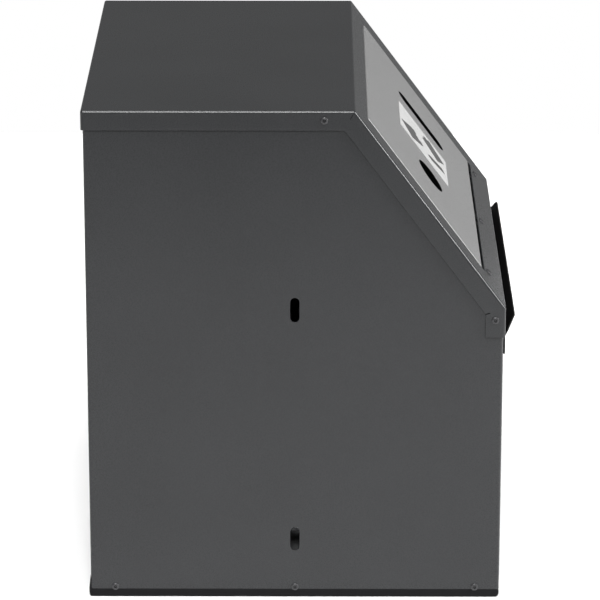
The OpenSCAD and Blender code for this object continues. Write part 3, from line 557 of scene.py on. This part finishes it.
# face: at a distance d past the inner rectangle the sheet has gone round the bend, out by r sin(d / r) and down
# by r - r cos(d / r), and from a quarter turn on it goes straight down; the larger of the distances past the
# rectangle's two sides leads, which mitres the corners
def plateFace(p):
    r = p["bend"]
    quarter = math.pi / 2 * r
    past = np.concatenate([np.linspace(0, quarter, p["bendSteps"]), [quarter + p["depth"] - r]])
    side, top, bottom = p["halfWidth"] - r, p["top"] + r, p["bottom"] - r
    holes = list(inlets.values())
    xLines = np.unique(np.concatenate([-side - past, [0], side + past]
                                      + [spread(hole["a"], hole["boxA"]) for hole in holes]))
    sLines = np.unique(np.concatenate([top - past, p["rows"], bottom + past]
                                      + [spread(hole["b"], hole["boxB"]) for hole in holes]))
    flat, faces = sheetWithHoles(xLines, sLines, holes, rings=3)
    inner = np.stack([np.clip(flat[:, 0], -side, side), np.clip(flat[:, 1], top, bottom)], -1)
    over = flat - inner
    d = np.abs(over).max(1)
    arc = np.minimum(d, quarter) / r
    share = r * np.sin(arc) / np.maximum(d, tiny)
    x, s = (inner + over * share[:, None]).T
    return onSlope(x, s, p["proud"] - r * (1 - np.cos(arc)) - np.maximum(d - quarter, 0)), faces


# rim: a flat frame, open at its foot, with three tabs that reach under the hood's lower strip; it is finished
# black as painted shade, so that its tabs in the joint below the face read as the dark gap
def plateShadeRim(p):
    side, top, bottom = p["halfWidth"] - p["lap"], p["top"] + p["lap"], p["bottom"] - p["lap"]
    tabEdges = np.array([[x - p["tabHalf"], x + p["tabHalf"]] for x in p["tabsAt"]])
    x = np.unique(np.concatenate([[-p["rimSide"], -side, side, p["rimSide"]], tabEdges.ravel()]))
    s = np.array([p["rimTop"], top, bottom, p["bottom"], p["tabEnd"]])
    middle = (x[:-1] + x[1:]) / 2
    atSide = np.abs(middle) > side
    atTab = ((middle[:, None] > tabEdges[:, 0]) & (middle[:, None] < tabEdges[:, 1])).any(1)
    keep = np.stack([np.ones_like(atSide), atSide, atSide | atTab, atTab])
    points = onSlope(x[None], s[:, None], np.array(p["underHood"]))
    return points.reshape(-1, 3), gridFaces(len(s), len(x), keep=keep)


# black sleeve in an inlet, painted shade that darkens the hole's wall: the hole's outline, two half circles
# spread apart by its spine, at its wall and a little inside it, at both ends of its depth
def paintedShadeOfInlet(inlet):
    t = np.concatenate([start + np.linspace(0, np.pi, shadeSleeve["steps"]) for start in (0, np.pi)])
    foot = np.repeat([inlet["spine"], -inlet["spine"]], shadeSleeve["steps"])
    outer, inner = inlet["radius"], inlet["radius"] - shadeSleeve["wall"]
    loops = [onSlope(inlet["a"] + r * np.cos(t), inlet["b"] + foot + r * np.sin(t), np.array(out))
             for r, out in ((outer, shadeSleeve["top"]), (outer, shadeSleeve["foot"]),
                            (inner, shadeSleeve["foot"]), (inner, shadeSleeve["top"]))]
    return np.stack(loops).reshape(-1, 3), gridFaces(4, len(t), wrapRows=True, wrapCols=True)


behindPlate = onSlope(*plate["behind"]).ravel()
makePiece("plateFace", plateFace(plate), "housing", "silver_coat", ["aperture_plate"], wall=plate["sheet"],
          edge=plate["edge"], inside=behindPlate)
# the rim takes the black coat as painted shade: its tabs show in the joint below the face, which stays dark
makePiece("plateShadeRim", plateShadeRim(plate), "housing", "black_coat", ["aperture_plate"], wall=plate["sheet"],
          edge=plate["rimEdge"], inside=behindPlate)
# the inlets' walls get a black sleeve as painted shade, so that the openings read dark
makePiece("inletShadeWalls", joined([paintedShadeOfInlet(inlet) for inlet in inlets.values()]), "housing", "black_coat",
          ["aperture_plate"])

# label film and its generic battery symbols, placed from the label's middle, across and up the slope
label = {"x": 3.5, "s": 123, "width": 90, "height": 84, "corner": 1, "edge": 0.1, "under": 0.35, "film": 0.3,
         "ink": 0.15, "bodyCorner": 1.2, "contactCorner": 0.5, "overlap": 0.6}
symbols = {
    "block": {"at": (-17.5, 20.8), "turn": -135, "body": (27, 26.5), "contact": (6.5, 3.5),
              "contactsAt": (-8.5, 8.5)},
    "slim": {"at": (-16, -23), "turn": 28, "body": (10, 28), "contact": (5, 2.5), "contactsAt": (0,)},
    "fat": {"at": (20, -18), "turn": -31, "body": (24.5, 31), "contact": (9, 3), "contactsAt": (0,)},
}


# lays a flat form, drawn across and up the slope from the label's middle, on the plate
def onLabel(surface, out):
    points, faces = surface
    return onSlope(label["x"] + points[:, 0], label["s"] - points[:, 1], out + points[:, 2]), faces


# a symbol: the body's rectangle with its contacts on its end, turned and moved to its place
def symbolForms(one):
    turn = math.radians(one["turn"])
    spin = np.array([[math.cos(turn), math.sin(turn)], [-math.sin(turn), math.cos(turn)]])
    width, length = one["body"]
    contactWidth, contactLength = one["contact"]
    outlines = [roundedRectangle(width, length, label["bodyCorner"])]
    outlines += [roundedRectangle(contactWidth, contactLength + label["overlap"], label["contactCorner"],
                                  (x, length / 2 + contactLength / 2)) for x in one["contactsAt"]]
    return [slabOf(outline @ spin + np.array(one["at"]), label["ink"]) for outline in outlines]


film = slabOf(roundedRectangle(label["width"], label["height"], label["corner"]), label["film"])
makePiece("labelFilm", onLabel(film, label["under"]), "housing", "label_white", ["aperture_label"],
          edge=label["edge"])
ink = joined([form for one in symbols.values() for form in symbolForms(one)])
makePiece("labelSymbols", onLabel(ink, label["under"] + label["film"]), "housing", "label_grey",
          ["label_pictograms"])

# screws and rivets: each is a profile turned about its own axis; the profiles' pairs are shares of the head's
# radius and of its height
buttonHead = {
    "radius": 3.8, "height": 1.6, "shank": 2.0, "chamfer": 0.3, "rim": ((1, 0), (1, 0.15)),
    "domeFoot": 0.3, "domeRings": 6, "domePower": 2.2,
    "socket": ((0.5, 1), (0.43, 0.985), (0.4, 0.9), (0.4, -1.5), (0, -1.6)), "hexRings": (-4, -3, -2),
}
blindHead = {
    "chamfer": 0.2, "steps": 28, "dome": ((1, 0), (1, 0.2), (0.94, 0.45), (0.78, 0.75), (0.55, 0.93)),
    "hole": ((0.34, 1), (0.28, 0.9), (0.28, 0.35), (0, 0.3)),
}


# round bar below a head, chamfered at its end
def shankRings(radius, length, chamfer):
    return [(0, -length), (radius - chamfer, -length), (radius, chamfer - length), (radius, 0)]


# button head with a hexagonal socket: from ring to ring the dome rises evenly, and its radius is 1 less a power
# of the ring's share of the way to the middle
def buttonScrew(place, out, length):
    h = buttonHead
    foot, last = h["domeFoot"], h["domeRings"] - 1
    dome = [(1 - (i / (last + 2)) ** h["domePower"], foot + (1 - foot) * i / last) for i in range(last + 1)]
    head = np.array([*h["rim"], *dome, *h["socket"]]) * [h["radius"], h["height"]]
    rings = np.vstack([shankRings(h["shank"], length, h["chamfer"]), head])
    return turnedForm(rings, place, out, hexRings=h["hexRings"])


# blind rivet: a low dome with its mandrel's hole
def blindRivet(place, out, size):
    rings = np.vstack([shankRings(size["shank"], size["length"], blindHead["chamfer"]),
                       np.array([*blindHead["dome"], *blindHead["hole"]]) * [size["radius"], size["height"]]])
    return turnedForm(rings, place, out, steps=blindHead["steps"])


# all screws or rivets of one node as one piece
def makeRow(forms, name, node, slotName, body="housing"):
    makePiece(name, joined(forms), body, slotName, [node], sharp=50, merge=mergeGap / 2)


sideScrews = {
    "hoodScrews": {"node": "hood_screws", "x": hood["halfWidth"], "length": 6.2,
                   "spots": ((-23.5, 505), (-194.2, 299))},
    "baseScrews": {"node": "base_screws", "x": shell["side"], "length": 4.3,
                   "spots": ((-177.5, 11.5), (5.5, 11.5), (188.5, 11.5))},
}
plateScrews = {"s": 227.3, "length": 5.5}
for name, row in sideScrews.items():
    makeRow([buttonScrew((side * row["x"], *spot), (side, 0, 0), row["length"])
             for side in (-1, 1) for spot in row["spots"]], name, row["node"], "dark_screw")
makeRow([buttonScrew(onSlope(x, plateScrews["s"], 0).ravel(), (0, *slopeOut), plateScrews["length"])
         for x in plate["tabsAt"]], "plateScrews", "plate_screws", "dark_screw")

# door: folded pan, inner sheet, pull with its blind rivets
door = {
    "half": 207, "face": -203.5, "back": -188.5, "bottom": 16.1, "top": 279, "sheet": 1.2, "bend": 1.6,
    "edge": 0.25, "smallestCorner": 0.2, "bendSteps": 6, "cornerSteps": 5, "inside": (0, -190, 150),
    "innerHalf": 205.7, "innerBottom": 17.4, "innerTop": 277.7, "innerSheet": 1, "innerCorner": 2,
    "innerEdge": 0.2,
}
pull = {
    "half": 207, "bend": 277.5, "flange": 20, "sheet": 1.8, "lean": 30, "tip": (-213.94, 295.58), "taper": 13,
    "radius": 2.4, "bendSteps": 5, "corners": (5, 4), "columns": 9, "edge": 0.5, "behind": (0, -150, 280),
    "rivets": 7, "rivetIn": 18, "rivet": {"radius": 3.2, "height": 0.7, "shank": 1.6, "length": 4},
}


# pan: rings of the front's outline run from its middle over the bend and back along the turned edges
def panSurface(p):
    width, height, r = 2 * p["half"], p["top"] - p["bottom"], p["bend"]
    t = np.linspace(0, np.pi / 2, p["bendSteps"])
    insets = np.concatenate([r * (1 - np.sin(t)), [0]])
    depths = np.concatenate([r * (1 - np.cos(t)), [p["back"] - p["face"]]])
    rings = closedStart([roundedRectangle(width - 2 * i, height - 2 * i, max(r - i, p["smallestCorner"]),
                                          (0, (p["top"] + p["bottom"]) / 2), p["cornerSteps"]) for i in insets])
    depths = np.concatenate([depths[:1], depths]) + p["face"]
    return (pointsOf(rings[..., 0], depths[:, None], rings[..., 1]),
            gridFaces(len(rings), rings.shape[1], wrapCols=True))


# inner sheet: a flat slab against the pan's turned edges
def innerSurface(p):
    height, middle = p["innerTop"] - p["innerBottom"], (p["innerTop"] + p["innerBottom"]) / 2
    points, faces = slabOf(roundedRectangle(2 * p["innerHalf"], height, p["innerCorner"], (0, middle)),
                           p["innerSheet"])
    return points[:, [0, 2, 1]] + [0, p["back"] - p["innerSheet"], 0], faces


# pull: its side profile drawn out across the bin, as wide at each height as its tapered outline
def pullSurface(p):
    lean, t = math.radians(p["lean"]), p["sheet"]
    face = door["face"] - t
    tip = np.array(p["tip"]) - t * np.array([math.cos(lean), math.sin(lean)])
    side = roundedPath([[face, p["bend"] - p["flange"]], [face, p["bend"] - t * math.tan(lean / 2)], tip],
                       [p["radius"]], p["bendSteps"])
    run = runAlong(side)
    end = run[-1]
    taperRun = p["taper"] / math.cos(lean)
    outline = roundedPath([[p["half"], 0], [p["half"], end - taperRun], [p["half"] - p["taper"], end],
                           [0, end]], p["corners"])[:-1]
    places = np.unique(np.concatenate([run, outline[:, 1]]))
    width = np.interp(places, outline[:, 1], outline[:, 0])
    width[-1] = outline[-1, 0]
    y, z = [np.interp(places, run, side[:, i])[:, None] for i in (0, 1)]
    return (pointsOf(np.linspace(-1, 1, p["columns"]) * width[:, None], y, z),
            gridFaces(len(places), p["columns"]))


makePiece("doorPan", panSurface(door), "door", "anthracite_coat", ["door_outer"], wall=door["sheet"],
          edge=door["edge"], inside=door["inside"])
makePiece("doorInner", innerSurface(door), "door", "anthracite_coat", ["door_inner"], edge=door["innerEdge"])
makePiece("doorPull", pullSurface(pull), "door", "black_coat", ["door_pull"], wall=pull["sheet"],
          edge=pull["edge"], inside=pull["behind"])
rivetY, rivetZ = door["face"] - pull["sheet"], pull["bend"] - pull["flange"] / 2
makeRow([blindRivet((x, rivetY, rivetZ), (0, -1, 0), pull["rivet"])
         for x in (pull["half"] - pull["rivetIn"]) * np.linspace(-1, 1, pull["rivets"])],
        "pullRivets", "pull_rivets", "black_coat", "door")

# liner: a lift-out bin of galvanised sheet
liner = {"width": 376, "front": -178.5, "back": 204.3, "bottom": 3.3, "top": 240.3, "corner": 8,
         "smallestCorner": 2, "bend": 1.6, "bendSteps": 5, "floorInset": 60, "rim": 12, "hem": 6, "sheet": 1,
         "edge": 0.2}
linerMiddle = (liner["front"] + liner["back"]) / 2


# rings of the liner's outline run from the floor's middle up the wall, in over the rim and down the hem
def linerSurface(p):
    depth, r = p["back"] - p["front"], p["bend"]
    t = np.linspace(0, np.pi / 2, p["bendSteps"])
    early, late = r * (1 - np.sin(t)), r * (1 - np.cos(t))
    insets = np.concatenate([[p["floorInset"]], early, late, p["rim"] - early, [p["rim"]]])
    heights = np.concatenate([[p["bottom"]], p["bottom"] + late, p["top"] - early, p["top"] - late,
                              [p["top"] - p["hem"]]])
    outer = np.arange(len(insets)) <= 2 * len(t)
    corner = np.where(outer, np.maximum(p["corner"] - insets, p["smallestCorner"]), p["corner"])
    rings = closedStart([roundedRectangle(p["width"] - 2 * i, depth - 2 * i, c, (0, linerMiddle))
                         for i, c in zip(insets, corner)])
    heights = np.concatenate([heights[:1], heights])
    return (pointsOf(rings[..., 0], rings[..., 1], heights[:, None]),
            gridFaces(len(rings), rings.shape[1], wrapCols=True))


makePiece("linerBox", linerSurface(liner), "liner", "galvanised_sheet", ["liner_box"], wall=liner["sheet"],
          edge=liner["edge"], inside=(0, linerMiddle, (liner["bottom"] + liner["top"]) / 2))

# ears on the liner's ends, which carry the bail
ear = {"width": 30, "bottom": 202.3, "top": 249.1, "sheet": 1.5, "corner": 5, "edge": 0.3, "rivetsAt": (-8, 8),
       "rivetHeight": 216.3, "rivet": {"radius": 3.2, "height": 1.4, "shank": 1.6, "length": 3.5}}
earOutline = roundedRectangle(ear["width"], ear["top"] - ear["bottom"], ear["corner"],
                              (linerMiddle, (ear["top"] + ear["bottom"]) / 2))
earPoints, earFaces = slabOf(earOutline, ear["sheet"])
for side, node in ((-1, "liner_ear_left"), (1, "liner_ear_right")):
    points = pointsOf(side * (liner["width"] / 2 + earPoints[:, 2]), earPoints[:, 0], earPoints[:, 1])
    makePiece(node.replace("liner_ear_", "linerEar."), (points, earFaces), "liner", "zinc_steel", [node],
              edge=ear["edge"])
makeRow([blindRivet((side * (liner["width"] / 2 + ear["sheet"]), linerMiddle + y, ear["rivetHeight"]),
                    (side, 0, 0), ear["rivet"]) for side in (-1, 1) for y in ear["rivetsAt"]],
        "earRivets", "ear_rivets", "zinc_steel", "liner")

# bail: a wire bent to a flat U, with its ends turned out through the ears
bail = {"wire": 3, "half": 182, "reach": 150, "end": 193, "corner": 14, "endBend": 6, "height": 243.6,
        "bendSteps": 10}
wireFlat = roundedPath([[-bail["end"], 0], [-bail["half"], 0], [-bail["half"], -bail["reach"]],
                        [bail["half"], -bail["reach"]], [bail["half"], 0], [bail["end"], 0]],
                       [bail["endBend"], bail["corner"], bail["corner"], bail["endBend"]], bail["bendSteps"])
wirePath = pointsOf(wireFlat[:, 0], wireFlat[:, 1] + linerMiddle, bail["height"])
makePiece("bailWire", tubeAlong(wirePath, bail["wire"]), "bail", "zinc_steel", ["bail_wire"])

# grip: the pairs of its ends are how far the sleeve's radius is short of full, and how far along
grip = {"half": 55, "radius": 9, "clearance": 0.1, "grooves": 14, "grooveDepth": 0.55, "waveRings": 141,
        "endLength": 2, "ends": ((1.6, 0), (0.7, 0.4), (0.2, 1.2)), "sharp": 60}


# a turned sleeve, round at its ends; its finger grooves are as deep as the cube of a cosine wave's upper half
def gripSurface(p):
    length = 2 * p["half"]
    along = np.linspace(p["endLength"], length - p["endLength"], p["waveRings"])
    wave = p["grooveDepth"] * np.maximum(0, np.cos(along / length * p["grooves"] * 2 * np.pi)) ** 3
    low = np.array([[bail["wire"] + p["clearance"], 0]]
                   + [[p["radius"] - short, at] for short, at in p["ends"]])
    high = low[::-1] * [1, -1] + [0, length]
    rings = np.vstack([low, np.stack([p["radius"] - wave, along], -1), high])
    points = turnedForm(rings, (-p["half"], linerMiddle - bail["reach"], bail["height"]), (1, 0, 0))[0]
    return points, gridFaces(len(rings), len(points) // len(rings), wrapRows=True, wrapCols=True)


makePiece("bailGrip", gripSurface(grip), "bail", "black_moulding", ["bail_grip"], sharp=grip["sharp"])

# pieces whose CAD shape is right: each node's body, its slot and the width of its rounded edges
roundedNodes = {
    "base_tray": ("housing", "black_moulding", 0.5), "front_header": ("housing", "anthracite_coat", 0.25),
    "hood_nuts": ("housing", "zinc_steel", 0.3), "plate_nuts": ("housing", "zinc_steel", 0.25),
    "hinge_base_leaf": ("housing", "zinc_steel", 0.15), "hinge_door_leaf": ("door", "zinc_steel", 0.15),
    "hinge_pin": ("housing", "zinc_steel", 0.2), "hinge_base_screws": ("housing", "zinc_steel", 0.12),
    "hinge_door_rivets": ("door", "zinc_steel", 0.12), "catch_left": ("housing", "black_moulding", 0.6),
    "catch_right": ("housing", "black_moulding", 0.6), "catch_poles": ("housing", "zinc_steel", 0.15),
    "catch_screws": ("housing", "zinc_steel", 0.15), "strike_left": ("door", "zinc_steel", 0.25),
    "strike_right": ("door", "zinc_steel", 0.25), "strike_rivets": ("door", "zinc_steel", 0.12),
}
for node, (body, slotName, edge) in roundedNodes.items():
    roundedCopy(node, body, slotName, edge)

# studio, in metres: a pale floor lights the bin's sides from below and ends where it would shine in the slope,
# a broad sun stands overhead and a key sun on the camera's side, and a softbox lights the slope from the front
studio = {
    "floor": {"left": -1.7, "right": 1.5, "half": 2.9, "tone": 0.9, "roughness": 0.7, "specular": 0.2},
    "sky": {"low": 0.3, "high": 0.18, "from": -0.1, "to": 0.25},
    "suns": {
        "overhead": {"from": (-0.12, 0, 1), "angle": 26, "strength": 1.45},
        "key": {"from": (-0.7, 0.03, 0.7), "angle": 18, "strength": 3.3},
    },
    "sunDistance": 3,
    "softboxes": {
        "frontSide": {"place": (-0.85, -3.1, 1.65), "size": (0.7, 0.5), "power": 115},
    },
}
ground = studio["floor"]
floorMesh = bpy.data.meshes.new("floor")
floorMesh.from_pydata([(ground["left"], -ground["half"], 0), (ground["right"], -ground["half"], 0),
                       (ground["right"], ground["half"], 0), (ground["left"], ground["half"], 0)],
                      [], [(0, 1, 2, 3)])
floorMesh.materials.append(newFinish("paleFloor", (ground["tone"],) * 3, ground["roughness"],
                                     Specular_IOR_Level=ground["specular"])[0])
placed("floor", floorMesh)

# sky: its tone falls from low to high directions as it lights the bin, and the camera sees it white
world = bpy.data.worlds.new("studio")
world.use_nodes = True
worldTree = world.node_tree
sky = worldTree.nodes["Background"]
sky.inputs["Color"].default_value = (1, 1, 1, 1)
seen = worldTree.nodes.new("ShaderNodeLightPath")
direction = worldTree.nodes.new("ShaderNodeTexCoord")
split = worldTree.nodes.new("ShaderNodeSeparateXYZ")
worldTree.links.new(direction.outputs["Generated"], split.inputs["Vector"])
skyTone = mapped(worldTree, split.outputs["Z"], studio["sky"]["low"], studio["sky"]["high"],
                 studio["sky"]["from"], studio["sky"]["to"])
brighter = combined(worldTree, "MAXIMUM", skyTone, seen.outputs["Is Camera Ray"])
worldTree.links.new(brighter, sky.inputs["Strength"])
bpy.context.scene.world = world
bpy.context.scene.view_settings.view_transform = "Standard"


# a lamp at a place, which shines at the origin
def aimLamp(light, place):
    lamp = placed(light.name, light)
    lamp.location = place
    lamp.rotation_euler = (-place).to_track_quat("-Z", "Y").to_euler()


for name, sun in studio["suns"].items():
    light = bpy.data.lights.new(name, "SUN")
    light.energy = sun["strength"]
    light.angle = math.radians(sun["angle"])
    aimLamp(light, Vector(sun["from"]) * studio["sunDistance"])
for name, box in studio["softboxes"].items():
    light = bpy.data.lights.new(name, "AREA")
    light.shape = "RECTANGLE"
    light.size, light.size_y = box["size"]
    light.energy = box["power"]
    aimLamp(light, Vector(box["place"]))
print("floor and lights set")

bpy.context.view_layer.update()
